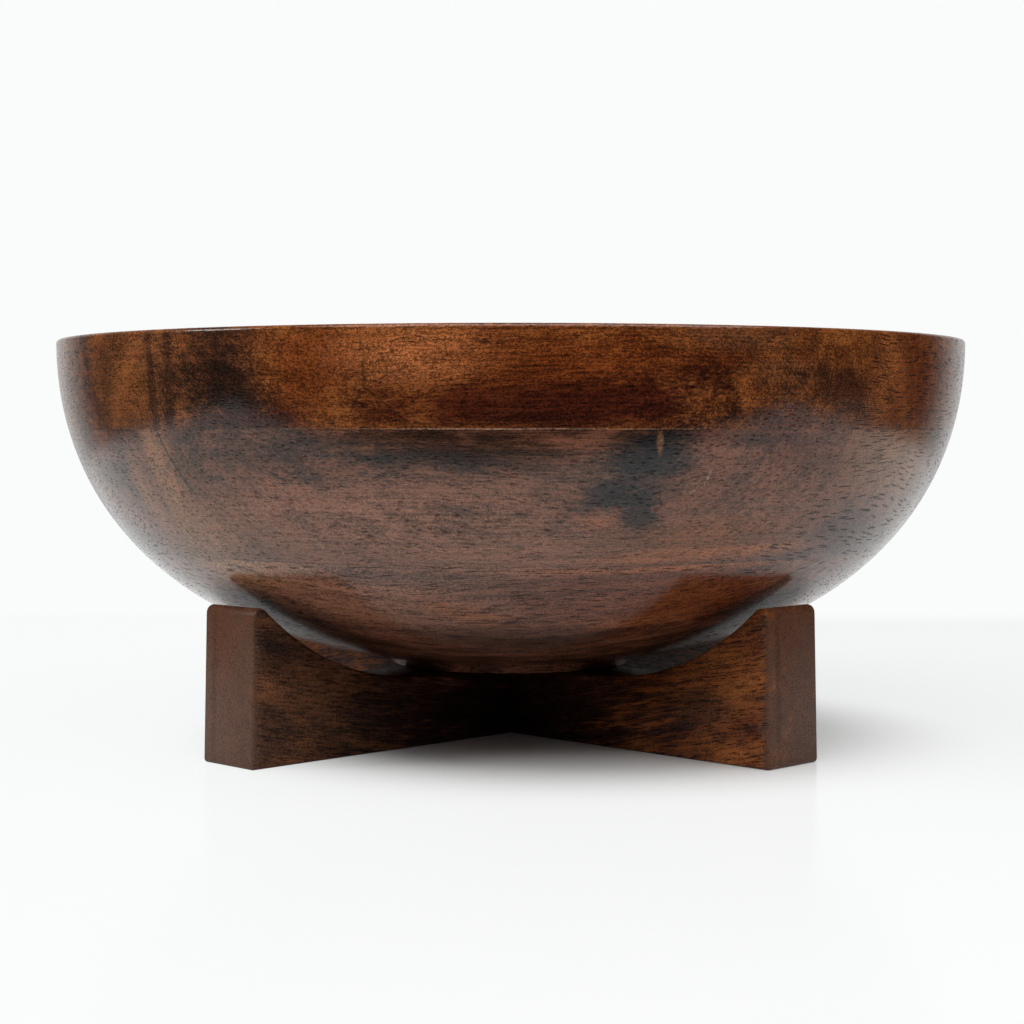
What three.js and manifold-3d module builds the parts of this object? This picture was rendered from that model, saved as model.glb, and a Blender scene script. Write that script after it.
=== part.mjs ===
// A round wooden bowl that stands loose on a low cross of two lapped rails.
// Millimetres, +Z up. The origin is on the ground, under the middle of the cross.
//
// The bowl is a stack of three courses of boards, glued up and then turned, so one
// revolved solid is cut along the glue faces. Every board runs along X.

import * as THREE from 'three';
import { mergeVertices, toCreasedNormals } from 'three/addons/utils/BufferGeometryUtils.js';
import Module from 'manifold-3d';

// Bowl, from the base up. The courses' thicknesses add up to its height.
const bowlRadius = 150;
const baseCourse = 40.2;
const middleCourse = 38.3;
const rimCourse = 28.5;

// Both sides of the bowl are superellipses hung from the rim. With both powers at 2 they
// are ellipses. A higher powerOut flattens the floor, and a higher powerDown makes the
// wall steeper.
const powerOut = 2.54;
const powerDown = 2.14;
const footRadius = 42; // a low turned foot cuts off the end of the outer curve
const curveLift = 0.9; // how far above the seat the curve would end without it
const footEase = 0.6;
const rimWall = 9;
const floorThickness = 12;
const rimOuterEase = 1.2;
const rimInnerEase = 3;

// Boards: a course above the base has a wide board in the middle and a strip at the
// front and back. A strip's width is measured in from the bowl's full radius, and the
// seams of the middle course lie a little further in than those of the rim course.
const stripWidth = 41;
const seamStagger = 4;

// Stand: two rails that cross at right angles, with a saddle in the top of each.
const railThickness = 24;
const seatHeight = 22.5;
const hornRise = 25.4; // the horns' height above the seat
const hornClearance = 10.1; // level gap from the bowl's side to the crest of a horn
const crestEase = 3; // rounding of a horn's crest on the saddle's side
const seatMargin = 9.5; // flat seat beyond the edge of the bowl's foot
const endSplay = 1.2; // how far a rail's end stands out at the ground beyond its top
const endEase = 1.2; // rounding of the rail's end corners, seen from the side
const edgeEase = 1; // rounding of the rail's long edges
const lapClearance = 0.3; // at each cheek of the notches
const crossAngle = Math.PI / 4; // each rail's angle to the bowl's boards

// Fineness of the round forms.
const turnSteps = 72;
const outerSteps = 16;
const innerSteps = 14;
const easeSteps = 3;
const outlineSteps = 6;
const bevelSteps = 2;
const creaseAngle = Math.PI / 6;
const weldDistance = 1e-4;
const spare = 10; // how far a cutting block reaches past what it cuts

// Sizes that follow from the ones above.
const bowlHeight = baseCourse + middleCourse + rimCourse;
const outerDepth = bowlHeight - curveLift;
const innerRadius = bowlRadius - rimWall;
const innerDepth = bowlHeight - floorThickness;
const railHeight = seatHeight + hornRise;
const lapHeight = seatHeight / 2;

const wasm = await Module();
wasm.setup();

// Closed geometry to a solid that can be cut. Faces squeezed flat on the axis go.
function solidOf( geometry ) {

	const bare = geometry.index ? geometry.toNonIndexed() : geometry.clone();
	bare.deleteAttribute( 'normal' );
	bare.deleteAttribute( 'uv' );
	const welded = mergeVertices( bare, weldDistance );
	const corners = welded.index.array;
	const triangles = [];

	for ( let i = 0; i < corners.length; i += 3 ) {

		const [ a, b, c ] = corners.slice( i, i + 3 );
		if ( a !== b && b !== c && c !== a ) triangles.push( a, b, c );

	}

	return new wasm.Manifold( new wasm.Mesh( {
		numProp: 3,
		vertProperties: welded.attributes.position.array,
		triVerts: new Uint32Array( triangles ),
	} ) );

}

function geometryOf( solid ) {

	const { vertProperties, triVerts } = solid.getMesh();
	const geometry = new THREE.BufferGeometry();
	geometry.setAttribute( 'position', new THREE.BufferAttribute( vertProperties, 3 ) );
	geometry.setIndex( new THREE.BufferAttribute( triVerts, 1 ) );
	return toCreasedNormals( geometry, creaseAngle );

}

// A cutting block between two corners.
function block( low, high ) {

	const size = high.map( ( value, i ) => value - low[ i ] );
	const middle = high.map( ( value, i ) => ( value + low[ i ] ) / 2 );
	return solidOf( new THREE.BoxGeometry( ...size ).translate( ...middle ) );

}

// The angle at which a superellipse curve has dropped this far below the rim.
function angleAtDrop( drop, depth ) {

	return Math.asin( Math.min( 1, ( drop / depth ) ** ( powerDown / 2 ) ) );

}

// A point of the curve, out from the axis and up from the bowl's foot.
function curvePoint( angle, radius, depth ) {

	return new THREE.Vector2(
		radius * Math.max( 0, Math.cos( angle ) ) ** ( 2 / powerOut ),
		bowlHeight - depth * Math.sin( angle ) ** ( 2 / powerDown ),
	);

}

function curvePoints( from, to, steps, radius, depth ) {

	const points = [];

	for ( let i = 0; i <= steps; i ++ ) {

		points.push( curvePoint( from + ( to - from ) * i / steps, radius, depth ) );

	}

	return points;

}

function arcPoints( x, y, radius, from, to ) {

	return new THREE.EllipseCurve( x, y, radius, radius, from, to ).getPoints( easeSteps );

}

// The bowl's outside radius at a height above its seat.
function outerRadiusAt( height ) {

	return curvePoint( angleAtDrop( bowlHeight - height, outerDepth ), bowlRadius, outerDepth ).x;

}

// The whole turned bowl: up the outside, over the rim and down the inside.
function turnedBowl() {

	const footAngle = Math.acos( ( footRadius / bowlRadius ) ** ( powerOut / 2 ) );
	const outerRimAngle = angleAtDrop( rimOuterEase, outerDepth );
	const innerRimAngle = angleAtDrop( rimInnerEase, innerDepth );
	const outerEaseHeight = bowlHeight - rimOuterEase;
	const innerEaseHeight = bowlHeight - rimInnerEase;
	const footEdge = arcPoints( footRadius - footEase, footEase, footEase, - Math.PI / 2, 0 );
	const outside = curvePoints( footAngle, outerRimAngle, outerSteps, bowlRadius, outerDepth );
	const inside = curvePoints( innerRimAngle, Math.PI / 2, innerSteps, innerRadius, innerDepth );
	const outerEase = arcPoints( bowlRadius - rimOuterEase, outerEaseHeight,
		rimOuterEase, 0, Math.PI / 2 );
	const innerEase = arcPoints( innerRadius + rimInnerEase, innerEaseHeight,
		rimInnerEase, Math.PI / 2, Math.PI );
	inside[ innerSteps ].x = 0;

	const profile = [
		new THREE.Vector2( 0, 0 ),
		...footEdge,
		...outside.slice( 0, - 1 ),
		...outerEase,
		...innerEase,
		...inside.slice( 1 ),
	];

	return solidOf( new THREE.LatheGeometry( profile, turnSteps ).rotateX( Math.PI / 2 ) );

}

// The saddled rail along X, with its underside on the ground and no notch yet.
function plainRail() {

	const crest = outerRadiusAt( hornRise ) + hornClearance;
	const foot = crest + endSplay;
	const seatHalf = footRadius + seatMargin;
	const sweep = crest - seatHalf;
	// The saddle's arc leaves the flat seat level and runs into the crest's own rounding:
	// both arcs have their centres on one line, which leans by this angle.
	const centreGap = ( sweep ** 2 + hornRise ** 2 ) / ( 2 * hornRise );
	const saddleRadius = centreGap - crestEase;
	const saddleCentre = seatHeight + saddleRadius;
	const lean = Math.atan2( sweep, centreGap - hornRise );
	const up = Math.PI / 2;
	const top = railHeight - endEase;
	const crestCentre = railHeight - crestEase;

	const outline = new THREE.Shape();
	outline.moveTo( - foot, 0 );
	outline.lineTo( foot, 0 );
	outline.absarc( foot, endEase, endEase, - up, 0 );
	outline.absarc( crest, top, endEase, 0, up );
	outline.absarc( crest, crestCentre, crestEase, up, up + lean );
	outline.absarc( seatHalf, saddleCentre, saddleRadius, lean - up, - up, true );
	outline.absarc( - seatHalf, saddleCentre, saddleRadius, - up, - up - lean, true );
	outline.absarc( - crest, crestCentre, crestEase, up - lean, up );
	outline.absarc( - crest, top, endEase, up, Math.PI );
	outline.absarc( - foot, endEase, endEase, Math.PI, Math.PI + up );

	const rail = new THREE.ExtrudeGeometry( outline, {
		depth: railThickness - 2 * edgeEase,
		curveSegments: outlineSteps,
		bevelThickness: edgeEase,
		bevelSize: edgeEase,
		bevelOffset: - edgeEase,
		bevelSegments: bevelSteps,
	} );

	return rail.translate( 0, 0, edgeEase - railThickness / 2 ).rotateX( Math.PI / 2 );

}

// One rail, notched between two heights to take the other.
function notchedRail( notchBottom, notchTop ) {

	const half = railThickness / 2;
	const notchHalf = half + lapClearance;
	const notch = block(
		[ - notchHalf, - half - spare, notchBottom ],
		[ notchHalf, half + spare, notchTop ],
	);
	return solidOf( plainRail() ).subtract( notch );

}

function wood( colour, roughness ) {

	return new THREE.MeshStandardMaterial( { color: colour, roughness, metalness: 0 } );

}

function namedPiece( name, solid, colour, roughness ) {

	const mesh = new THREE.Mesh( geometryOf( solid ), wood( colour, roughness ) );
	mesh.name = name;
	return mesh;

}

const courses = [
	{ name: 'middle', bottom: baseCourse, top: baseCourse + middleCourse, strip: stripWidth + seamStagger },
	{ name: 'rim', bottom: baseCourse + middleCourse, top: bowlHeight + spare, strip: stripWidth },
];

const reach = bowlRadius + spare;
const bowlFinish = 0.28;
const bowlColours = { base: '#6b4632', middle: '#7a5440', rim: '#7d4722', strip: '#5f3a26' };

// The boards of one course: an arc of the wide board at each side, and two strips.
function courseBoards( turned, { name, bottom, top, strip } ) {

	const seam = bowlRadius - strip;
	const boards = {
		[ `${ name }_board_left` ]: block( [ - reach, - seam, bottom ], [ 0, seam, top ] ),
		[ `${ name }_board_right` ]: block( [ 0, - seam, bottom ], [ reach, seam, top ] ),
		[ `${ name }_strip_front` ]: block( [ - reach, - reach, bottom ], [ reach, - seam, top ] ),
		[ `${ name }_strip_back` ]: block( [ - reach, seam, bottom ], [ reach, reach, top ] ),
	};

	return Object.entries( boards ).map( ( [ boardName, region ] ) => {

		const colour = boardName.includes( 'strip' ) ? bowlColours.strip : bowlColours[ name ];
		return namedPiece( boardName, turned.intersect( region ), colour, bowlFinish );

	} );

}

function makeBowl() {

	const turned = turnedBowl();
	const baseRegion = block( [ - reach, - reach, - spare ], [ reach, reach, baseCourse ] );
	const bowl = new THREE.Group();
	bowl.position.z = seatHeight;
	bowl.add( namedPiece( 'base_board', turned.intersect( baseRegion ), bowlColours.base, bowlFinish ) );

	for ( const course of courses ) bowl.add( ...courseBoards( turned, course ) );

	return bowl;

}

const standFinish = 0.42;
const standColours = { lower: '#5a3d2e', upper: '#6e4526' };

function makeStand() {

	const stand = new THREE.Group();
	const lowerRail = namedPiece( 'lower_rail', notchedRail( lapHeight, seatHeight + spare ),
		standColours.lower, standFinish );
	const upperRail = namedPiece( 'upper_rail', notchedRail( - spare, lapHeight ),
		standColours.upper, standFinish );
	lowerRail.rotation.z = crossAngle;
	upperRail.rotation.z = crossAngle + Math.PI / 2;
	stand.add( lowerRail, upperRail );
	return stand;

}

const bowlOnStand = new THREE.Group();
bowlOnStand.add( makeStand(), makeBowl() );

export default bowlOnStand;
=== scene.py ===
"""A turned wooden bowl that stands loose on a low cross of two lapped rails, under clear
lacquer, on a white acrylic sheet. One large soft box hangs overhead, and a small one stands
on the left."""

import math

import bpy
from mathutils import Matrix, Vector


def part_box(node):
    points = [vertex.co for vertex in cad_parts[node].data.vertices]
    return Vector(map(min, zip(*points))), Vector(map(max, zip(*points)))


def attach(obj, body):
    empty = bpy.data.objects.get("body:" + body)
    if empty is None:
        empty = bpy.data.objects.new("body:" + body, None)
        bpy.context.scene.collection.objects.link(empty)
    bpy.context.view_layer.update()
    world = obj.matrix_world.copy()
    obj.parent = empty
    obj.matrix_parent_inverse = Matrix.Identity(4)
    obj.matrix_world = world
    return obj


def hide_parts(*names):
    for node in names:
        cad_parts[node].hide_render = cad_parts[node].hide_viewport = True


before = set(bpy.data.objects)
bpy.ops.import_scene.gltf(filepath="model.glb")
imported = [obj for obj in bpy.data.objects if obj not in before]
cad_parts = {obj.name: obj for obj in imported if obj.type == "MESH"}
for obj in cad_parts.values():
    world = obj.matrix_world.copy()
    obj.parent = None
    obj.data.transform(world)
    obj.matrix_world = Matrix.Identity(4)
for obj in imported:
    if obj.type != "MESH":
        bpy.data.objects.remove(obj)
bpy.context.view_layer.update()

MM = 0.001

# Places that the frame gives.
base_low, base_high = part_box("base_board")
middle_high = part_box("middle_board_left")[1]
rim_low, rim_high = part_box("rim_board_left")
SEAT = base_low.z
LOWER_JOINT = base_high.z
UPPER_JOINT = middle_high.z
RIM = rim_high.z
RADIUS = -rim_low.x
MIDDLE_SEAM = middle_high.y
RIM_SEAM = rim_high.y
RAIL_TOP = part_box("lower_rail")[1].z

# The turned profile, as the solids have it, with a finer foot: its lower edge is eased and
# its wall leans in.
POWER_OUT = 2.54
POWER_DOWN = 2.14
FOOT_RADIUS = 42 * MM
CURVE_LIFT = 0.9 * MM
FOOT_EASE = 0.9 * MM
FOOT_DRAFT = 1.4 * MM  # the foot's wall leans in by this much below the bowl
RIM_WALL = 9 * MM
FLOOR_THICKNESS = 12 * MM
RIM_OUTER_EASE = 1.2 * MM
RIM_INNER_EASE = 3 * MM
OUTER_DEPTH = RIM - SEAT - CURVE_LIFT
INNER_DEPTH = RIM - SEAT - FLOOR_THICKNESS
INNER_RADIUS = RADIUS - RIM_WALL
TURN_STEPS = 288
OUTSIDE_STEPS = 48
INSIDE_STEPS = 40
EASE_STEPS = 6
RIM_EDGE_STEPS = 5

# The rails, as the solids have them, with finer eases at the crests and the ends.
RAIL_THICKNESS = 24 * MM
HORN_CLEARANCE = 10.1 * MM
CREST_EASE = 3.5 * MM
SEAT_MARGIN = 9.5 * MM
END_SPLAY = 1.2 * MM
END_EASE = 1.2 * MM
END_TOP_EASE = 2.5 * MM
EDGE_EASE = 1 * MM
EDGE_SEGMENTS = 4
CROSS_ANGLE = math.radians(45)
SADDLE_STEPS = 28
END_STEPS = 4
RAIL_HALF_MM = 120.1  # a rail's half length at the ground, for its material

# Modelling.
WELD = 0.001 * MM  # points closer than this become one
SMOOTH_ANGLE = math.radians(30)  # shading breaks at edges sharper than this
EASED_ANGLE = math.radians(50)  # a rail's edges sharper than this are eased

# The studio.
SHEET_BACK = 470 * MM
SHEET_FRONT = -500 * MM
SHEET_SIDE = 1500 * MM
WHITE = "#fafcfb"
FRONT_FADE = (-280 * MM, -215 * MM)  # in reflections the sheet ends at its front and sides
SIDE_FADE = (380 * MM, 480 * MM)
SHADE_CENTRE = (24 * MM, -16 * MM, 0)
SHADE_EDGE = (66 * MM, 136 * MM)  # the sheet turns to plain white from one to the other
REFLECTED_CENTRE = (0, 20 * MM, 0)  # in reflections the bowl's shade lies further back
REFLECTED_EDGE = (124 * MM, 150 * MM)
LEFT_EDGE = (-120 * MM, 0.0)
LEFT_WHITE = (0.93, 0.72)  # the most plain white near the bowl, from the left to its middle
FAR_EDGE = (200 * MM, 440 * MM)
BACKDROP_EDGE = (0.52, 0.9)  # how far towards +Y the backdrop starts and is full
BACKDROP_GLOW = 0.75
ROOM_GLOW = 0.02
CEILING_GLOW = 0.25
CEILING_RISE = 0.6  # how far up a direction points where the ceiling's glow is full
LIGHTS = {  # place and size in metres, power in watts
    "overhead_box": ((0.1, -0.62, 1.3), (2.2, 1.2), 24),
    "left_box": ((-1.5, -0.35, 0.9), (0.5, 0.5), 7),
}
LIGHT_AIM = (0, 0, 0.05)
IMAGE_SIDE = 1024
FOCAL_PIXELS = 2081.8
CAMERA_PLACE = (0.4 * MM, -704.7 * MM, 102.7 * MM)
CAMERA_TILT = math.radians(2.437)  # below level


# Modelling by hand.

def deselect_all():
    bpy.ops.object.select_all(action="DESELECT")


def make_active(piece):
    deselect_all()
    piece.select_set(True)
    bpy.context.view_layer.objects.active = piece


def open_for_edit(piece):
    make_active(piece)
    bpy.ops.object.mode_set(mode="EDIT")
    bpy.ops.mesh.select_all(action="SELECT")


def close_edit():
    bpy.ops.object.mode_set(mode="OBJECT")


def drawn_line(name, points):
    """One corner drawn out from point to point."""
    deselect_all()
    bpy.ops.mesh.primitive_plane_add(size=MM, location=points[0])
    piece = bpy.context.active_object
    piece.name = name
    bpy.ops.object.transform_apply(location=True)
    open_for_edit(piece)
    bpy.ops.mesh.merge(type="CENTER")
    for before, after in zip(points, points[1:]):
        bpy.ops.mesh.extrude_vertices_move(TRANSFORM_OT_translate={"value": after - before})
    close_edit()
    return piece


def apply_modifier(piece, kind, **settings):
    make_active(piece)
    modifier = piece.modifiers.new(kind.lower(), kind)
    for key, value in settings.items():
        setattr(modifier, key, value)
    bpy.ops.object.modifier_apply(modifier=modifier.name)


def arc(x, z, radius, start, end, steps):
    """Points of an arc in the XZ plane, angles in degrees from +X towards +Z."""
    angles = [math.radians(start + (end - start) * i / steps) for i in range(steps + 1)]
    return [Vector((x + radius * math.cos(a), 0, z + radius * math.sin(a))) for a in angles]


# The bowl.

def curve_point(angle, radius, depth):
    out = radius * max(0.0, math.cos(angle)) ** (2 / POWER_OUT)
    return Vector((out, 0, RIM - depth * math.sin(angle) ** (2 / POWER_DOWN)))


def angle_at_drop(drop, depth):
    return math.asin(min(1.0, (drop / depth) ** (POWER_DOWN / 2)))


def outer_radius_at(height):
    return curve_point(angle_at_drop(RIM - height, OUTER_DEPTH), RADIUS, OUTER_DEPTH).x


def curve_points(start, end, steps, radius, depth):
    angles = [start + (end - start) * i / steps for i in range(steps + 1)]
    return [curve_point(angle, radius, depth) for angle in angles]


def bowl_profile():
    """Up the outside from the middle of the foot, over the rim and down the inside."""
    foot_angle = math.acos((FOOT_RADIUS / RADIUS) ** (POWER_OUT / 2))
    outside = curve_points(foot_angle, angle_at_drop(RIM_OUTER_EASE, OUTER_DEPTH),
                           OUTSIDE_STEPS, RADIUS, OUTER_DEPTH)
    inside = curve_points(angle_at_drop(RIM_INNER_EASE, INNER_DEPTH), math.pi / 2,
                          INSIDE_STEPS, INNER_RADIUS, INNER_DEPTH)
    points = [Vector((0, 0, SEAT))]
    points += arc(FOOT_RADIUS - FOOT_DRAFT - FOOT_EASE, SEAT + FOOT_EASE, FOOT_EASE,
                  -90, -15, EASE_STEPS)
    points += outside[:-1]
    points += arc(RADIUS - RIM_OUTER_EASE, RIM - RIM_OUTER_EASE, RIM_OUTER_EASE,
                  0, 90, RIM_EDGE_STEPS)
    points += arc(INNER_RADIUS + RIM_INNER_EASE, RIM - RIM_INNER_EASE, RIM_INNER_EASE,
                  90, 180, EASE_STEPS)
    points += inside[1:-1]
    points.append(Vector((0, 0, RIM - INNER_DEPTH)))
    return points


def turned_bowl():
    bowl = drawn_line("turned_bowl", bowl_profile())
    open_for_edit(bowl)
    bpy.ops.mesh.spin(steps=TURN_STEPS, angle=2 * math.pi, center=(0, 0, 0), axis=(0, 0, 1))
    bpy.ops.mesh.select_all(action="SELECT")
    bpy.ops.mesh.remove_doubles(threshold=WELD)
    bpy.ops.mesh.normals_make_consistent(inside=False)
    close_edit()
    return bowl


def sawn_board(bowl, name, cuts):
    """A copy of the bowl cut off at each plane, on the side that its normal points to."""
    board = bowl.copy()
    board.data = bowl.data.copy()
    board.name = name
    bpy.context.scene.collection.objects.link(board)
    open_for_edit(board)
    for place, normal in cuts:
        bpy.ops.mesh.select_all(action="SELECT")
        bpy.ops.mesh.bisect(plane_co=place, plane_no=normal, use_fill=True, clear_outer=True)
    close_edit()
    make_active(board)
    bpy.ops.object.shade_smooth_by_angle(angle=SMOOTH_ANGLE)
    return board


def above(height):
    return (0, 0, height), (0, 0, 1)


def below(height):
    return (0, 0, height), (0, 0, -1)


def course_cuts(seam):
    """The planes that leave each of a course's four boards."""
    front, back = (0, -seam, 0), (0, seam, 0)
    middle = (0, 0, 0)
    return {
        "board_left": [(front, (0, -1, 0)), (back, (0, 1, 0)), (middle, (1, 0, 0))],
        "board_right": [(front, (0, -1, 0)), (back, (0, 1, 0)), (middle, (-1, 0, 0))],
        "strip_front": [(front, (0, 1, 0))],
        "strip_back": [(back, (0, -1, 0))],
    }


def make_boards():
    bowl = turned_bowl()
    boards = {"base_board": sawn_board(bowl, "base_board_wood", [above(LOWER_JOINT)])}
    courses = {
        "middle": (MIDDLE_SEAM, [below(LOWER_JOINT), above(UPPER_JOINT)]),
        "rim": (RIM_SEAM, [below(UPPER_JOINT)]),
    }
    for course, (seam, levels) in courses.items():
        for place, cuts in course_cuts(seam).items():
            node = f"{course}_{place}"
            boards[node] = sawn_board(bowl, node + "_wood", levels + cuts)
    bpy.data.objects.remove(bowl)
    return boards


# The stand.

def rail_outline():
    """The rail seen from its side, anticlockwise from the underside's right end."""
    end = outer_radius_at(RAIL_TOP) + HORN_CLEARANCE + END_EASE
    foot = end + END_SPLAY - END_EASE
    crest = end - END_TOP_EASE
    seat_half = FOOT_RADIUS + SEAT_MARGIN
    sweep = crest - seat_half
    rise = RAIL_TOP - SEAT
    centre_gap = (sweep ** 2 + rise ** 2) / (2 * rise)
    saddle = centre_gap - CREST_EASE
    lean = math.degrees(math.atan2(sweep, centre_gap - rise))
    end_top, crest_centre = RAIL_TOP - END_TOP_EASE, RAIL_TOP - CREST_EASE
    points = arc(foot, END_EASE, END_EASE, -90, 0, END_STEPS)
    points += arc(crest, end_top, END_TOP_EASE, 0, 90, EASE_STEPS)
    points += arc(crest, crest_centre, CREST_EASE, 90, 90 + lean, EASE_STEPS)[1:]
    points += arc(seat_half, SEAT + saddle, saddle, lean - 90, -90, SADDLE_STEPS)[1:]
    points += arc(-seat_half, SEAT + saddle, saddle, -90, -90 - lean, SADDLE_STEPS)
    points += arc(-crest, crest_centre, CREST_EASE, 90 - lean, 90, EASE_STEPS)[1:]
    points += arc(-crest, end_top, END_TOP_EASE, 90, 180, EASE_STEPS)[1:]
    points += arc(-foot, END_EASE, END_EASE, 180, 270, END_STEPS)
    return points


def plain_rail(name):
    outline = rail_outline()
    half = Vector((0, RAIL_THICKNESS / 2, 0))
    rail = drawn_line(name, [point - half for point in outline + outline[:1]])
    open_for_edit(rail)
    bpy.ops.mesh.remove_doubles(threshold=WELD)
    bpy.ops.mesh.edge_face_add()
    bpy.ops.mesh.extrude_region_move(TRANSFORM_OT_translate={"value": 2 * half})
    bpy.ops.mesh.select_all(action="SELECT")
    bpy.ops.mesh.normals_make_consistent(inside=False)
    close_edit()
    apply_modifier(rail, "BEVEL", width=EDGE_EASE, segments=EDGE_SEGMENTS,
                   limit_method="ANGLE", angle_limit=EASED_ANGLE)
    return rail


def cut_notch(rail, bottom, top):
    """The half lap that takes the other rail."""
    deselect_all()
    bpy.ops.mesh.primitive_cube_add(size=1, location=(0, 0, (bottom + top) / 2))
    cutter = bpy.context.active_object
    cutter.scale = (RAIL_THICKNESS, 2 * RAIL_THICKNESS, top - bottom)
    bpy.ops.object.transform_apply(location=True, scale=True)
    apply_modifier(rail, "BOOLEAN", operation="DIFFERENCE", object=cutter, solver="EXACT")
    bpy.data.objects.remove(cutter)


def make_rail(name, notch, turn):
    rail = plain_rail(name)
    cut_notch(rail, *notch)
    make_active(rail)
    rail.rotation_euler.z = turn
    bpy.ops.object.transform_apply(rotation=True)
    bpy.ops.object.shade_smooth_by_angle(angle=SMOOTH_ANGLE)
    return rail


def make_rails():
    lap = SEAT / 2
    spare = 10 * MM
    return {
        "lower_rail": make_rail("lower_rail_wood", (lap, SEAT + spare), CROSS_ANGLE),
        "upper_rail": make_rail("upper_rail_wood", (-spare, lap), CROSS_ANGLE + math.pi / 2),
    }


# Materials.

def linear(hex_colour):
    """An sRGB hex colour as linear red, green, blue and alpha."""
    values = [int(hex_colour[i:i + 2], 16) / 255 for i in (1, 3, 5)]
    return [v / 12.92 if v <= 0.04045 else ((v + 0.055) / 1.055) ** 2.4 for v in values] + [1.0]


def add(tree, kind, inputs, output=0, **settings):
    """Adds a node with its settings, sets or links its inputs, and gives one output."""
    node = tree.nodes.new("ShaderNode" + kind)
    for key, value in settings.items():
        setattr(node, key, value)
    for key, value in inputs.items():
        if isinstance(value, bpy.types.NodeSocket):
            tree.links.new(value, node.inputs[key])
        else:
            node.inputs[key].default_value = value
    return node.outputs[output] if node.outputs else None


def new_material(name):
    material = bpy.data.materials.new(name)
    material.use_nodes = True
    material.node_tree.nodes.clear()
    return material, material.node_tree


def inverse(sizes):
    return [1 / size for size in sizes]


def weighted_sum(tree, patterns, weights, start=0.0):
    """The named patterns, each by its own weight, on top of a starting value."""
    total = start
    for pattern, weight in weights.items():
        total = add(tree, "Math", {0: patterns[pattern], 1: weight, 2: total},
                    operation="MULTIPLY_ADD")
    return total


def place_on_board(tree, look):
    """The place in mm with X along the board, and the same turned and moved to where the
    board lay in the tree, so that X runs along the fibres."""
    place = add(tree, "TexCoord", {}, "Object")
    in_mm = add(tree, "VectorMath", {0: place, 3: 1 / MM}, operation="SCALE")
    along = add(tree, "Mapping", {"Vector": in_mm, "Rotation": (0, 0, -look["turn"])})
    lean = (0, math.radians(look["fibre_lean"]), 0)
    grown = add(tree, "Mapping", {"Vector": along, "Rotation": lean, "Location": look["shift"]})
    return along, grown


def wandering(tree, board, look):
    """The trunk was never quite straight, so the fibres wander to the sides."""
    slow = add(tree, "Mapping", {"Vector": board, "Scale": inverse(look["wander_size"])})
    noise = add(tree, "TexNoise", {"Vector": slow, "Scale": 1.0, "Detail": 1.0}, "Color")
    centred = add(tree, "VectorMath", {0: noise, 1: (0.5, 0.5, 0.5)}, operation="SUBTRACT")
    drift = add(tree, "VectorMath", {0: centred, 3: look["wander"]}, operation="SCALE")
    return add(tree, "VectorMath", {0: board, 1: drift}, operation="ADD")


# Patterns in the wood: their size along, across and through the board in mm, and the
# number and strength of finer layers. Real vessels are about 0.2 mm wide, which is under
# a pixel, so flecks, fibres and pores are drawn about twice as coarse as they are.
GRAIN = {
    "specks": ((0.45, 0.32, 0.32), 1, 0.5),
    "flecks": ((1.0, 0.6, 0.6), 1, 0.9),
    "fibres": ((10.0, 0.6, 0.6), 1, 0.8),
    "streaks": ((36.0, 3.2, 3.2), 2, 0.7),
    "clouds": ((28.0, 12.0, 12.0), 2, 0.7),
}


def grain_patterns(tree, grown):
    """Each pattern as a value that swings either side of zero."""
    patterns = {}
    for name, (sizes, detail, roughness) in GRAIN.items():
        scaled = add(tree, "Mapping", {"Vector": grown, "Scale": inverse(sizes)})
        noise = add(tree, "TexNoise", {"Vector": scaled, "Scale": 1.0, "Detail": float(detail),
                                       "Roughness": roughness})
        patterns[name] = add(tree, "Math", {0: noise, 1: 0.5}, operation="SUBTRACT")
    return patterns


def growth_layers(tree, grown, look):
    """Light and dark layers round the pith, which lies along the board beside it."""
    pith, taper = (0, *look["pith"]), (look["taper"], 1, 1)
    from_pith = add(tree, "VectorMath", {0: grown, 1: pith}, operation="SUBTRACT")
    across = add(tree, "VectorMath", {0: from_pith, 1: taper}, operation="MULTIPLY")
    age = add(tree, "VectorMath", {0: across}, "Value", operation="LENGTH")
    years = add(tree, "Math", {0: age, 1: look["layer_size"]}, operation="DIVIDE")
    noise = add(tree, "TexNoise", {"W": years, "Scale": 1.0, "Detail": 3.0, "Roughness": 0.65},
                noise_dimensions="1D")
    return add(tree, "Math", {0: noise, 1: 0.5}, operation="SUBTRACT")


def open_pores(tree, grown, look):
    """Dark dashes where the vessels were cut along, and dots at the board's end."""
    scaled = add(tree, "Mapping", {"Vector": grown, "Scale": inverse(look["pore_size"])})
    distance = add(tree, "TexVoronoi", {"Vector": scaled, "Scale": 1.0}, "Distance", feature="F1")
    return add(tree, "MapRange", {0: distance, 1: PORE_EDGE[0], 2: PORE_EDGE[1], 3: 1.0, 4: 0.0},
               interpolation_type="SMOOTHSTEP")


def painted_figure_and_light(tree, place, colour, patterns, figure_and_painted_light):
    """Lays each soft patch over the board's colour, ragged along the grain: mostly the wood's own
    markings, and in a few places painted shade and painted highlights.
    """
    rough_edge = weighted_sum(tree, patterns, ROUGH_EDGE)
    for patch in figure_and_painted_light:
        moved = add(tree, "Mapping", {
            "Vector": place, "Location": patch["at"],
            "Rotation": (0, math.radians(patch["turn"]), 0), "Scale": patch["size"],
        }, vector_type="TEXTURE")
        reach = add(tree, "VectorMath", {0: moved}, "Value", operation="LENGTH")
        ragged = add(tree, "Math", {0: rough_edge, 1: reach}, operation="ADD")
        mask = add(tree, "MapRange", {
            0: ragged, 1: 1 - patch["soft"], 2: 1 + patch["soft"], 3: patch["strength"], 4: 0.0,
        }, interpolation_type="SMOOTHSTEP")
        tone = linear(TONES[patch["tone"]])
        colour = add(tree, "Mix", {0: mask, 6: colour, 7: tone}, 2, data_type="RGBA")
    return colour


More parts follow.
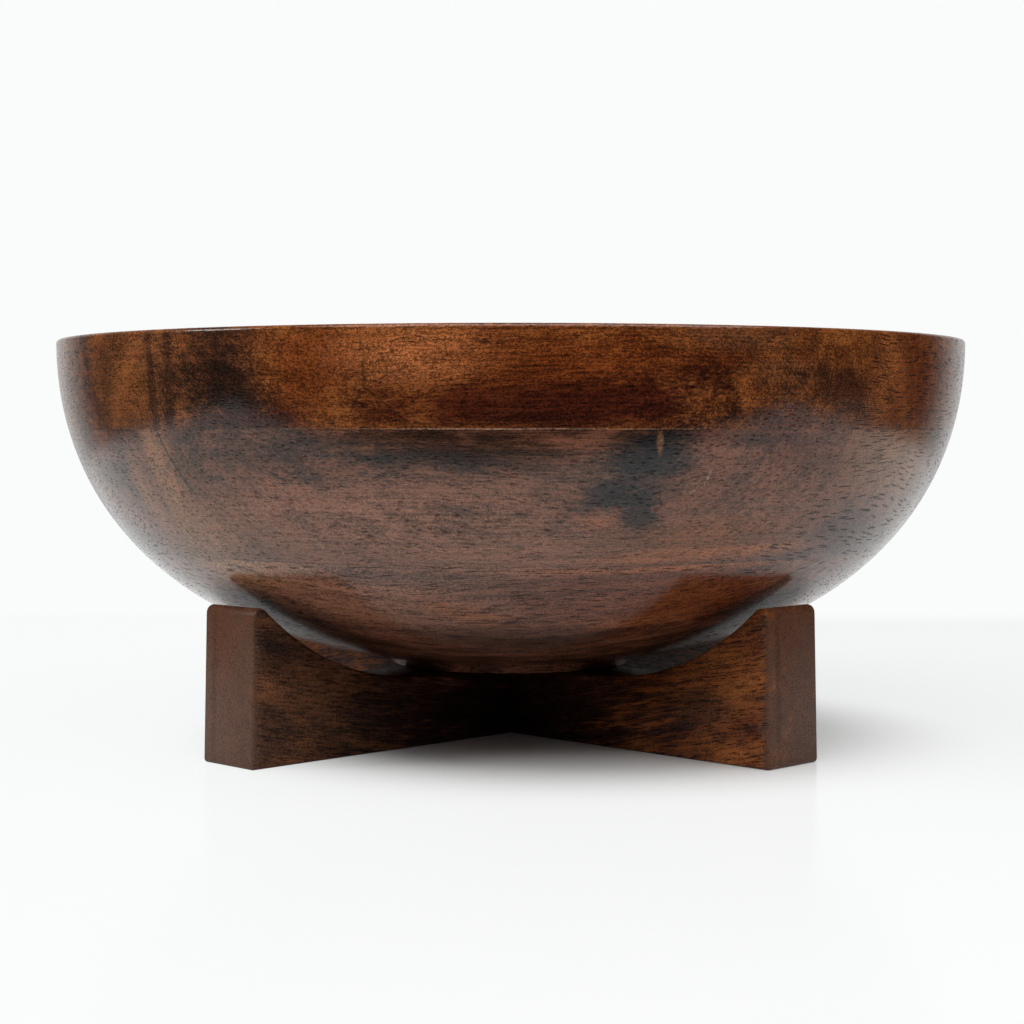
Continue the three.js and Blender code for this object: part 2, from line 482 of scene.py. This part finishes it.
def glue_lines(tree, place, colour, lines):
    """A thin line, broken here and there, where the board meets its neighbour."""
    glue = linear(TONES["glue"])
    noise = add(tree, "TexNoise", {"Vector": place, "Scale": 1 / GLUE_SPACING, "Detail": 2.0})
    for axis, level, strength in lines:
        off = add(tree, "SeparateXYZ", {0: place}, axis)
        off = add(tree, "Math", {0: off, 1: level / MM}, operation="SUBTRACT")
        off = add(tree, "Math", {0: off}, operation="ABSOLUTE")
        line = add(tree, "MapRange", {0: off, 1: GLUE_EDGE[0], 2: GLUE_EDGE[1], 3: 1.0, 4: 0.0})
        broken = add(tree, "MapRange", {0: noise, 1: GLUE_BREAK[0], 2: GLUE_BREAK[1],
                                        3: GLUE_FAINTEST, 4: strength})
        line = add(tree, "Math", {0: line, 1: broken}, operation="MULTIPLY")
        colour = add(tree, "Mix", {0: line, 6: colour, 7: glue}, 2, data_type="RGBA")
    return colour


def turning_lines(tree, place):
    """Scratches of the turner's abrasive, which run round the bowl at one height. The real
    ones are under 0.1 mm apart, too fine to show, so they are drawn coarser."""
    thin = add(tree, "Mapping", {"Vector": place, "Scale": inverse(TURNING_SIZE)})
    noise = add(tree, "TexNoise", {"Vector": thin, "Scale": 1.0, "Detail": 1.0})
    return add(tree, "Math", {0: noise, 1: 0.5}, operation="SUBTRACT")


def grain_shade(tree, place, patterns, look):
    """The factor by which all the patterns together brighten or darken the wood. They darken
    it more than they brighten it, because pores and fibres show as dark lines."""
    weights = {"pores": -look["pore_depth"], **look["strengths"]}
    depth = weighted_sum(tree, patterns, weights, look["level"])
    depth = add(tree, "Math", {0: depth, 1: look["brightest"], 2: BRIGHT_BLEND},
                operation="SMOOTH_MIN")
    if "sealed_ends" in look:  # the finish seals the end grain, which shows less pattern
        start, full = look["sealed_ends"]
        along = add(tree, "SeparateXYZ", {0: place}, "X")
        along = add(tree, "Math", {0: along}, operation="ABSOLUTE")
        calm = add(tree, "MapRange", {0: along, 1: start, 2: full, 3: 1.0, 4: SEALED_SHARE})
        depth = add(tree, "Math", {0: depth, 1: calm}, operation="MULTIPLY")
    return add(tree, "Math", {0: depth}, operation="EXPONENT")


def lacquered_wood(name, look):
    """Acacia, planed or turned, sanded and brushed with clear lacquer. Broad soft zones of
    heartwood give its colour, fibres and open pores show as dark lines and dashes, and the
    lacquer lays a clear, slightly blurred reflection over it."""
    material, tree = new_material(name)
    place, board = place_on_board(tree, look)
    grown = wandering(tree, board, look)
    patterns = grain_patterns(tree, grown)
    patterns["layers"] = growth_layers(tree, grown, look)
    patterns["pores"] = open_pores(tree, grown, look)
    if "turning" in look["strengths"]:
        patterns["turning"] = turning_lines(tree, place)

    zone = add(tree, "MapRange", {0: patterns["clouds"], 1: -ZONE_SPREAD, 2: ZONE_SPREAD})
    dark, light = linear(TONES[look["dark"]]), linear(TONES[look["light"]])
    colour = add(tree, "Mix", {0: zone, 6: dark, 7: light}, 2, data_type="RGBA")
    colour = painted_figure_and_light(tree, place, colour, patterns, look["figure_and_painted_light"])
    shade = grain_shade(tree, place, patterns, look)
    colour = add(tree, "VectorMath", {0: colour, 3: shade}, operation="SCALE")
    colour = glue_lines(tree, place, colour, look["glue"])

    relief = weighted_sum(tree, patterns, RELIEF)
    bump = add(tree, "Bump", {"Strength": look["relief"], "Distance": RELIEF_HEIGHT,
                              "Height": relief})
    # The lacquer doesn't fill the pores, so its shine is broken there.
    full = look["coat"]
    broken = {pattern: share * full for pattern, share in BROKEN_SHINE.items()}
    coat = weighted_sum(tree, patterns, broken, full)
    shader = add(tree, "BsdfPrincipled", {
        "Base Color": colour, "Roughness": 0.5, "IOR": 1.5, "Specular IOR Level": 0.05,
        "Normal": bump, "Coat Weight": coat, "Coat Roughness": look["coat_roughness"],
        "Coat IOR": 1.46, "Coat Normal": bump,
    })
    add(tree, "OutputMaterial", {"Surface": shader})
    return material


# The tones that this wood runs through, from its darkest heart to its palest bands, with the
# glue's colour and the colours of painted shade and painted glints.
TONES = {
    "black": "#1a0f0c", "stain": "#181819", "shade ember": "#2e130a", "umber": "#402618",
    "dark red": "#46190a", "chestnut": "#59270e", "red brown": "#763712",
    "grey brown": "#654739", "end grain": "#6e4e3f", "walnut": "#74492e",
    "brown": "#8a5842", "pale brown": "#9b6b54", "tan": "#a57450",
    "gold": "#935629", "orange": "#b0683c", "glue": "#120b08", "glint": "#cfa88c",
}
ZONE_SPREAD = 0.22  # how far the clouds swing from the dark tone to the light one
PORE_EDGE = (0.16, 0.38)  # a pore's full and outer reach, as a share of its spacing
BRIGHT_BLEND = 0.3  # how softly the grain comes up to its brightest
SEALED_SHARE = 0.3  # what is left of the pattern in sealed end grain
TURNING_SIZE = (90, 90, 0.4)  # in mm
ROUGH_EDGE = {"streaks": 1.6, "clouds": 1.0, "fibres": 0.9}
RELIEF = {"flecks": 0.6, "fibres": 0.6, "pores": -0.5}
RELIEF_HEIGHT = 0.1 * MM
BROKEN_SHINE = {"pores": -0.55, "flecks": 1.3}
GLUE_EDGE = (0.08, 0.32)  # how far from its middle a glue line fades, in mm
GLUE_SPACING = 8  # how far apart its breaks lie, in mm
GLUE_BREAK = (0.45, 0.58)  # the noise at which it is faintest and at which it is whole
GLUE_FAINTEST = 0.1

# How a board lay in the tree: its turn in radians, its fibres' lean in degrees, its shift,
# how far and over what lengths its fibres wander, and the pith beside it, all in mm, with
# the trunk's taper. Then the sizes of its layers and pores in mm, and how deep the pores are
# and how strong each pattern is, as powers of e by which they darken or brighten the wood.
BOWL_WOOD = {
    "turn": 0, "fibre_lean": 0, "shift": (0, 0, 0), "wander": 20, "wander_size": (130, 50, 50),
    "pith": (60, -30), "taper": 0.12, "layer_size": 7,
    "pore_size": (3.5, 3, 0.75), "pore_depth": 0.55, "level": 0.06, "brightest": 0.46,
    "strengths": {"specks": 3.3, "flecks": 2.8, "fibres": 1.9, "streaks": 1.6, "clouds": 0.6,
                  "layers": 1.1, "turning": 1.2},
    "figure_and_painted_light": [], "glue": [], "relief": 0.3, "coat": 1.0, "coat_roughness": 0.13,
}


def patch(tone, x, z, across, tall, strength, turn=0, soft=0.65, y=-120, deep=80):
    """A patch on the bowl's front, as deep as the strip: its centre and half sizes in mm. Most
    patches are the wood's own markings; a few are painted shade and painted highlights. A turn is
    in degrees, clockwise as seen from the front."""
    return {"tone": tone, "at": (x, y, z), "size": (across, deep, tall), "strength": strength,
            "turn": turn, "soft": soft}


def rim_figure_and_highlights():
    return [
        patch("walnut", -108, 114, 20, 20, 0.9),
        patch("gold", -111, 112, 7, 14, 0.6),
        patch("dark red", -127, 112, 3, 15, 0.8, turn=-10),
        patch("umber", -102.5, 112, 1.3, 17, 0.75, turn=-5, soft=0.5),
        patch("umber", -97, 113, 1.8, 17, 0.8, soft=0.5),
        patch("umber", -79, 115, 14, 16, 0.9),
        patch("black", -74, 106, 12, 6, 0.7),
        patch("black", -78, 114, 8, 8, 0.5),
        patch("red brown", -56, 117, 12, 10, 0.7),
        patch("dark red", -66, 103.5, 28, 2.5, 0.6),
        # partly the wood's light colour and partly a painted sheen of the lacquer near the rim
        patch("orange", -25, 121, 21, 8, 0.95),
        patch("umber", -39.5, 117, 0.5, 6, 0.6, soft=0.6),
        patch("umber", -42, 108, 0.6, 5, 0.6, turn=26, soft=0.6),
        patch("chestnut", -34, 107, 9, 5.5, 0.7),
        patch("chestnut", -12, 108, 14, 5, 0.7),
        patch("red brown", 20, 119, 30, 10, 0.8),
        patch("chestnut", 22, 109, 30, 6, 0.8),
        patch("dark red", 4, 107.5, 36, 5, 0.85),
        patch("dark red", 40, 108, 18, 6, 0.8),
        patch("dark red", 51, 114, 12, 6, 0.6),
        patch("walnut", 62, 126, 17, 3, 0.6),
        patch("walnut", 76, 117, 10, 4, 0.5),
        patch("dark red", 78, 104, 20, 4, 0.8, turn=-4),
        patch("umber", 92, 112, 15, 5, 0.7, turn=6),
        patch("grey brown", 98, 107, 9, 3, 0.5),
        patch("red brown", 126, 114, 14, 18, 0.9),
        patch("orange", 110, 114, 7, 12, 0.5),
        # painted highlight: a broken glint of the lacquer along the upper joint
        patch("glint", -5, UPPER_JOINT / MM + 0.1, 40, 0.26, 0.7, soft=0.9),
    ]


def middle_figure_and_highlights():
    return [
        patch("pale brown", -28, 76, 64, 14, 0.95),
        patch("umber", -114, 98, 7, 6, 0.4, turn=-20),
        patch("tan", -100, 86, 4, 18, 0.8, turn=-20, soft=0.5),
        patch("tan", -107, 80, 3, 14, 0.6, turn=-25, soft=0.5),
        patch("tan", -90, 70, 13, 9, 0.6),
        patch("glue", -100, 87, 12, 17, 0.85, soft=0.1, y=-MIDDLE_SEAM / MM, deep=0.35),
        patch("grey brown", -70, 93, 28, 7, 0.6),
        patch("umber", -70, 94, 22, 6, 0.45),
        patch("umber", -20, 95, 42, 7, 0.85),
        patch("black", -22, 93, 22, 3, 0.5),
        patch("brown", 75, 84, 36, 17, 0.9),
        patch("pale brown", 60, 75, 22, 5, 0.6, turn=-12),
        patch("chestnut", 84, 93, 16, 4, 0.5, turn=8),
        patch("dark red", 62, 99.5, 30, 3.5, 0.7),
        patch("grey brown", 22, 90, 16, 7, 0.6, turn=-25),
        patch("stain", 38, 94, 10, 10, 0.95, soft=0.8),
        patch("stain", 31, 87, 12, 5, 0.85, turn=-45, soft=0.8),
        patch("stain", 25, 83, 9, 3.5, 0.7, turn=-25, soft=0.7),
        patch("stain", 15, 78, 6, 2.5, 0.4, turn=-35, soft=0.8),
        patch("stain", 35.5, 78.5, 5.5, 7.5, 0.9, turn=-15, soft=0.5),
        patch("chestnut", 41.2, 82, 0.35, 6, 0.7, turn=-8, soft=0.4),
        patch("orange", 25, 75.5, 5, 2.5, 0.35),
        patch("tan", 40.6, 97.6, 0.8, 2.8, 0.7, soft=0.5),
        patch("grey brown", 64, 87, 4, 10, 0.4),
        # painted highlights: two small glints of the lacquer
        patch("glint", 54.5, 88, 0.35, 3, 0.5, turn=24, soft=0.5),
        patch("glint", 50, 83.6, 0.35, 1.6, 0.4, turn=50, soft=0.5),
        patch("tan", 116, 90, 16, 16, 0.85),
        patch("gold", 56, 71, 26, 5, 0.7, turn=-5),
        patch("pale brown", 2, 66, 34, 4, 0.7),
        patch("orange", 60, 66, 34, 2, 0.85, turn=-3),
        patch("dark red", 101, 68, 13, 9, 0.85, turn=-18),
    ]


def base_figure_and_shade():
    return [
        patch("pale brown", -50, 54, 34, 12, 0.8),
        patch("tan", -80, 60, 16, 6, 0.95),
        patch("pale brown", 0, 62, 34, 3, 0.6),
        patch("pale brown", -5, 46, 24, 4, 0.6),
        patch("grey brown", -30, 59, 28, 2.6, 0.7),
        patch("gold", -12, 48, 16, 3, 0.6, turn=16),
        patch("red brown", 50, 50, 44, 15, 0.7),
        patch("orange", 44, 61.6, 52, 0.8, 0.6, turn=-1, soft=0.6),
        # painted shade: the underside darkened just above each front arm, standing in for the
        # arm's shade and its dark reflection in the lacquer
        patch("black", -64, 43, 26, 7, 0.8, turn=20, soft=0.8, y=-66, deep=30),
        patch("black", 64, 43, 26, 7, 0.8, turn=-20, soft=0.8, y=-66, deep=30),
        patch("orange", 34, 44, 16, 1.6, 0.5, turn=-8),
        patch("umber", 20, 39, 44, 5, 0.6),
    ]


def bowl_looks():
    upper = [("Z", UPPER_JOINT, 0.6)]
    lower = [("Z", LOWER_JOINT, 0.5)]
    rim_seams = [("Y", -RIM_SEAM, 0.3), ("Y", RIM_SEAM, 0.3)]
    middle_seams = [("Y", -MIDDLE_SEAM, 0.3), ("Y", MIDDLE_SEAM, 0.3)]
    rim = {**BOWL_WOOD, "dark": "chestnut", "light": "gold", "glue": upper + rim_seams,
           "figure_and_painted_light": rim_figure_and_highlights(), "level": -0.07, "brightest": 0.6}
    calm = {**BOWL_WOOD["strengths"], "specks": 2.3, "flecks": 1.5, "streaks": 2.4}
    middle = {**BOWL_WOOD, "dark": "umber", "light": "brown",
              "glue": upper + lower + middle_seams, "figure_and_painted_light": middle_figure_and_highlights(),
              "level": -0.03, "strengths": calm}
    layered = {**BOWL_WOOD["strengths"], "flecks": 3.2, "fibres": 2.8, "layers": 2.2}
    base = {**BOWL_WOOD, "dark": "umber", "light": "brown", "glue": lower, "figure_and_painted_light": base_figure_and_shade(),
            "strengths": layered, "level": 0.12, "brightest": 0.55}
    return {
        "base_board": {**base, "pith": (0, -160), "layer_size": 4, "shift": (40, 0, 0),
                       "pore_size": (8, 6, 0.72), "pore_depth": 1.3},
        "middle_strip_front": {**middle, "pith": (-260, 60), "layer_size": 12},
        "middle_strip_back": {**middle, "pith": (230, 40), "shift": (210, 0, 0), "figure_and_painted_light": []},
        "middle_board_left": {**middle, "pith": (-190, 20), "shift": (90, 30, 0),
                              "pore_depth": 0.8},
        "middle_board_right": {**middle, "pith": (-190, 20), "shift": (-140, 40, 0),
                               "pore_size": (9, 8, 0.72), "pore_depth": 1.9},
        "rim_strip_front": {**rim, "pith": (-230, 90), "layer_size": 11},
        "rim_strip_back": {**rim, "pith": (210, 70), "shift": (-60, 0, 0), "figure_and_painted_light": []},
        "rim_board_left": {**rim, "pith": (-170, 60), "shift": (60, 0, 0), "pore_depth": 0.9},
        "rim_board_right": {**rim, "pith": (-200, 60), "shift": (-170, 0, 0), "level": -0.12,
                            "pore_size": (9, 8, 0.72), "pore_depth": 1.6},
    }


STAND_WOOD = {
    **BOWL_WOOD, "fibre_lean": -9, "wander": 8, "wander_size": (90, 30, 30), "pith": (60, -50),
    "taper": 0.1, "pore_size": (6, 0.72, 0.72), "pore_depth": 1.5, "level": 0.1, "brightest": 0.6,
    "strengths": {"specks": 2.8, "flecks": 2.6, "fibres": 2.8, "streaks": 1.8, "clouds": 0.5,
                  "layers": 0.6},
    "relief": 0.4, "coat": 0.45, "coat_roughness": 0.32,
    "sealed_ends": (RAIL_HALF_MM - 2.6, RAIL_HALF_MM - 1.4),  # begins here, and full from here
}
PAST_END = 121.5  # the middle of a patch that lies on a rail's end face, in mm


def rail_patch(tone, along, z, across, tall, strength, soft=0.4, y=0, deep=40):
    """A patch in the rail, right through unless told: its centre and half sizes in mm."""
    return {"tone": tone, "at": (along, y, z), "size": (across, deep, tall), "strength": strength,
            "turn": 0, "soft": soft}


def rail_figure_and_shade():
    """The ends' grain is greyer, and the middle, where the rails cross under the bowl, is painted
    darker as shade.
    """
    ends = []
    for side in (-1, 1):
        end = side * PAST_END
        ends += [rail_patch("end grain", end, 24, 4, 60, 0.85),
                 rail_patch("red brown", end, 40, 4, 14, 0.3, soft=0.8, y=4, deep=7),
                 rail_patch("grey brown", end, 14, 4, 22, 0.6, soft=0.8, y=-7, deep=4),
                 rail_patch("umber", end, 26, 4, 30, 0.45, soft=0.7, y=7, deep=1.2)]
    # painted shade: the rails darkened where they cross under the bowl, in its shade
    centre = [rail_patch("shade ember", 0, 14, 74, 60, 0.85, soft=0.25),
              rail_patch("black", 0, 12, 44, 60, 0.7, soft=0.6)]
    return centre + ends


def stand_looks():
    rails = {**STAND_WOOD, "figure_and_painted_light": rail_figure_and_shade()}
    stains_and_shade = rails["figure_and_painted_light"] + [rail_patch("umber", -92, 17, 10, 7, 0.7, soft=0.7),
                                 rail_patch("dark red", -84, 36, 16, 8, 0.6, soft=0.8),
                                 rail_patch("umber", -PAST_END, 24, 4, 60, 0.3)]
    return {
        "lower_rail": {**rails, "turn": CROSS_ANGLE, "dark": "umber", "light": "walnut",
                       "pore_depth": 1.1},
        "upper_rail": {**rails, "turn": CROSS_ANGLE + math.pi / 2, "dark": "chestnut",
                       "light": "gold", "shift": (120, 0, 0), "figure_and_painted_light": stains_and_shade, "level": 0.2},
    }


def share_of_white(tree, place, side, along, is_glossy):
    """How far the sheet is seen as plain white: not at all in the bowl's shade, mostly round
    it and wholly far behind. In reflections the shade lies further back."""
    reach = add(tree, "VectorMath", {0: place, 1: SHADE_CENTRE}, "Value", operation="DISTANCE")
    most = add(tree, "MapRange", {0: side, 1: LEFT_EDGE[0], 2: LEFT_EDGE[1],
                                  3: LEFT_WHITE[0], 4: LEFT_WHITE[1]})
    white = add(tree, "MapRange", {0: reach, 1: SHADE_EDGE[0], 2: SHADE_EDGE[1], 3: 0.0, 4: most},
                interpolation_type="SMOOTHSTEP")
    far = add(tree, "MapRange", {0: along, 1: FAR_EDGE[0], 2: FAR_EDGE[1]},
              interpolation_type="SMOOTHSTEP")
    white = add(tree, "Math", {0: white, 1: far}, operation="MAXIMUM")
    is_camera = add(tree, "LightPath", {}, "Is Camera Ray")
    behind = add(tree, "VectorMath", {0: place, 1: REFLECTED_CENTRE}, "Value",
                 operation="DISTANCE")
    lit = add(tree, "MapRange", {0: behind, 1: REFLECTED_EDGE[0], 2: REFLECTED_EDGE[1]},
              interpolation_type="SMOOTHSTEP")
    reflected = add(tree, "Math", {0: is_glossy, 1: lit}, operation="MULTIPLY")
    seen = add(tree, "Math", {0: is_camera, 1: reflected}, operation="MAXIMUM")
    return add(tree, "Math", {0: white, 1: seen}, operation="MULTIPLY")


def share_past_ends(tree, side, along, is_glossy):
    """How far the sheet is gone from reflections, at its front and at its sides."""
    front = add(tree, "MapRange", {0: along, 1: FRONT_FADE[0], 2: FRONT_FADE[1], 3: 1.0, 4: 0.0},
                interpolation_type="SMOOTHSTEP")
    sideways = add(tree, "Math", {0: side}, operation="ABSOLUTE")
    ends = add(tree, "MapRange", {0: sideways, 1: SIDE_FADE[0], 2: SIDE_FADE[1]},
               interpolation_type="SMOOTHSTEP")
    gone = add(tree, "Math", {0: front, 1: ends}, operation="MAXIMUM")
    return add(tree, "Math", {0: gone, 1: is_glossy}, operation="MULTIPLY")


def acrylic_sheet():
    """White acrylic, cast and polished: an even white with a faint clear reflection. Light
    that the sheet throws back on the wood is held low, as a dark room would leave it."""
    material, tree = new_material("white_acrylic")
    place = add(tree, "NewGeometry", {}, "Position")
    side = add(tree, "SeparateXYZ", {0: place}, "X")
    along = add(tree, "SeparateXYZ", {0: place}, "Y")
    is_diffuse = add(tree, "LightPath", {}, "Is Diffuse Ray")
    is_glossy = add(tree, "LightPath", {}, "Is Glossy Ray")
    seen, thrown_back = linear("#f8f9f9"), linear("#bcbcbc")
    colour = add(tree, "Mix", {0: is_diffuse, 6: seen, 7: thrown_back}, 2, data_type="RGBA")
    sheet = add(tree, "BsdfPrincipled", {
        "Base Color": colour, "Roughness": 0.16, "IOR": 1.49, "Specular IOR Level": 0.12,
    })
    plain = add(tree, "Emission", {"Color": linear(WHITE), "Strength": 1.0})
    white = share_of_white(tree, place, side, along, is_glossy)
    surface = add(tree, "MixShader", {0: white, 1: sheet, 2: plain})
    clear = add(tree, "BsdfTransparent", {})
    gone = share_past_ends(tree, side, along, is_glossy)
    surface = add(tree, "MixShader", {0: gone, 1: surface, 2: clear})
    add(tree, "OutputMaterial", {"Surface": surface})
    return material


# The studio.

def make_floor():
    deselect_all()
    bpy.ops.mesh.primitive_plane_add(size=1, location=(0, 0.5 * (SHEET_BACK + SHEET_FRONT), 0))
    floor = bpy.context.active_object
    floor.name = "floor"
    floor.scale = (2 * SHEET_SIDE, SHEET_BACK - SHEET_FRONT, 1)
    bpy.ops.object.transform_apply(location=True, scale=True)
    floor.data.materials.append(acrylic_sheet())


def make_light(name, place, size, power):
    data = bpy.data.lights.new(name, "AREA")
    data.shape = "RECTANGLE"
    data.size, data.size_y = size
    data.energy = power
    lamp = bpy.data.objects.new(name, data)
    bpy.context.scene.collection.objects.link(lamp)
    lamp.location = place
    aim = Vector(LIGHT_AIM) - Vector(place)
    lamp.rotation_euler = aim.to_track_quat("-Z", "Y").to_euler()


def make_world():
    """White to the camera all round. In reflections it is a white backdrop behind the
    bowl and a dim room elsewhere, and the ceiling gives a low even light."""
    world = bpy.data.worlds.new("studio")
    bpy.context.scene.world = world
    world.use_nodes = True
    tree = world.node_tree
    tree.nodes.clear()
    direction = add(tree, "TexCoord", {}, "Generated")
    ahead = add(tree, "SeparateXYZ", {0: direction}, "Y")
    up = add(tree, "SeparateXYZ", {0: direction}, "Z")
    backdrop = add(tree, "MapRange", {
        0: ahead, 1: BACKDROP_EDGE[0], 2: BACKDROP_EDGE[1], 3: ROOM_GLOW, 4: BACKDROP_GLOW,
    }, interpolation_type="SMOOTHSTEP")
    ceiling = add(tree, "MapRange", {0: up, 1: 0.0, 2: CEILING_RISE, 3: 0.0, 4: CEILING_GLOW},
                  interpolation_type="SMOOTHSTEP")
    is_glossy = add(tree, "LightPath", {}, "Is Glossy Ray")
    is_camera = add(tree, "LightPath", {}, "Is Camera Ray")
    level = add(tree, "Mix", {0: is_glossy, 2: ceiling, 3: backdrop}, data_type="FLOAT")
    level = add(tree, "Mix", {0: is_camera, 2: level, 3: 1.0}, data_type="FLOAT")
    back = add(tree, "Background", {0: linear(WHITE), 1: level})
    add(tree, "OutputWorld", {"Surface": back})


def make_camera():
    """As far off and as high as the perspective of the rim and the rails shows."""
    data = bpy.data.cameras.new("camera")
    data.sensor_width = 36
    data.lens = FOCAL_PIXELS / IMAGE_SIDE * data.sensor_width
    data.clip_start = 0.01
    camera = bpy.data.objects.new("camera", data)
    bpy.context.scene.collection.objects.link(camera)
    camera.location = CAMERA_PLACE
    camera.rotation_euler = (math.pi / 2 - CAMERA_TILT, 0, 0)
    bpy.context.scene.camera = camera


def place_piece(piece, node, body, look):
    piece.data.materials.clear()
    piece.data.materials.append(lacquered_wood(node + "_acacia", look))
    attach(piece, body)
    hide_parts(node)


def main():
    bpy.context.scene.view_settings.view_transform = "Standard"
    make_camera()
    make_floor()
    make_world()
    for name, (place, size, power) in LIGHTS.items():
        make_light(name, place, size, power)
    boards = make_boards()
    for node, look in bowl_looks().items():
        place_piece(boards[node], node, "bowl", look)
    rails = make_rails()
    for node, look in stand_looks().items():
        place_piece(rails[node], node, "stand", look)


main()
